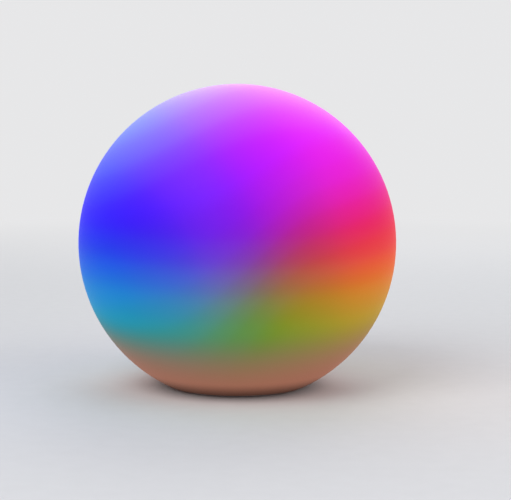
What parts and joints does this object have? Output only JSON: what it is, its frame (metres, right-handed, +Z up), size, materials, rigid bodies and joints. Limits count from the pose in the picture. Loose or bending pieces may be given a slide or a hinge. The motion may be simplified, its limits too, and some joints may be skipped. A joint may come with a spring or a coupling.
{
  "type": "solar globe light",
  "caption": "Translucent moulded garden globe lit from inside in changing colours, standing on a sealed solar light module that twists into its neck.",
  "frame": {"origin": "centre of the ground plane that the feet stand on, on the globe's axis", "axes": "+Z up the globe's axis, -Y towards the viewer, +X to the viewer's right"},
  "size_m": [0.2999, 0.3, 0.2862],
  "materials": {
    "globe_plastic": "fine moulded matt, lit from inside",
    "insert_brass": "turned and knurled",
    "ring_plastic": "fine spark texture",
    "zinc_screw": "zinc plated",
    "seal_silicone": "matt silicone",
    "housing_plastic": "fine spark texture",
    "foot_rubber": "matt",
    "cover_plastic": "fine spark texture",
    "gasket_rubber": "matt",
    "tray_plastic": "smooth moulded",
    "cell_sleeve": "shrink sleeve",
    "contact_nickel": "nickel plated strip",
    "battery_lead_skin": "extruded insulation",
    "board_laminate": "solder mask",
    "switch_plastic": "smooth moulded",
    "switch_lead_skin": "extruded insulation",
    "chip_epoxy": "moulded epoxy",
    "coil_ferrite": "pressed ferrite",
    "capacitor_can": "drawn can",
    "deck_plastic": "white reflector",
    "led_board_mask": "white solder mask",
    "led_body": "moulded package, lit",
    "led_lead_skin": "extruded insulation",
    "panel_laminate": "dark laminate",
    "cell_silicon": "blue-black cells with fine grid lines",
    "panel_resin": "clear cast resin",
    "panel_lead_skin": "extruded insulation",
    "button_plastic": "satin grey",
    "plunger_plastic": "natural acetal"
  },
  "bodies": {
    "globe": {"globe_shell": "globe_plastic", "brass_inserts": "insert_brass", "neck_ring": "ring_plastic", "ring_screws": "zinc_screw"},
    "seal": {"neck_seal": "seal_silicone"},
    "base": {"base_housing": "housing_plastic", "rubber_feet": "foot_rubber", "bottom_cover": "cover_plastic", "cover_gasket": "gasket_rubber", "cover_screws": "zinc_screw", "battery_tray": "tray_plastic", "tray_screws": "zinc_screw", "battery_cell_left": "cell_sleeve", "battery_cell_right": "cell_sleeve", "battery_contacts": "contact_nickel", "battery_link": "contact_nickel", "battery_leads": "battery_lead_skin", "switch_board": "board_laminate", "push_switch": "switch_plastic", "switch_screws": "zinc_screw", "switch_leads": "switch_lead_skin", "control_board": "board_laminate", "controller_chip": "chip_epoxy", "charge_coil": "coil_ferrite", "storage_capacitor": "capacitor_can", "board_screws": "zinc_screw", "top_deck": "deck_plastic", "deck_gasket": "gasket_rubber", "deck_screws": "zinc_screw", "led_board": "led_board_mask", "led_packages": "led_body", "led_leads": "led_lead_skin", "panel_board": "panel_laminate", "solar_cells": "cell_silicon", "panel_window": "panel_resin", "panel_leads": "panel_lead_skin"},
    "button": {"mode_button": "button_plastic", "button_seal": "gasket_rubber", "switch_plunger": "plunger_plastic"}
  },
  "joints": [
    {"name": "globe_twist", "type": "hinge", "parent": "base", "child": "seal", "pos_m": [0, 0, 0], "axis": [0, 0, 1], "range_deg": [-45, 0]},
    {"name": "globe_lift", "type": "slide", "parent": "seal", "child": "globe", "axis": [0, 0, 1], "range_m": [0, 0.2]},
    {"name": "button_press", "type": "slide", "parent": "base", "child": "button", "axis": [0, 0, 1], "range_m": [0, 0.0015], "stiffness_N_per_m": 300, "springref_m": -0.001}
  ]
}
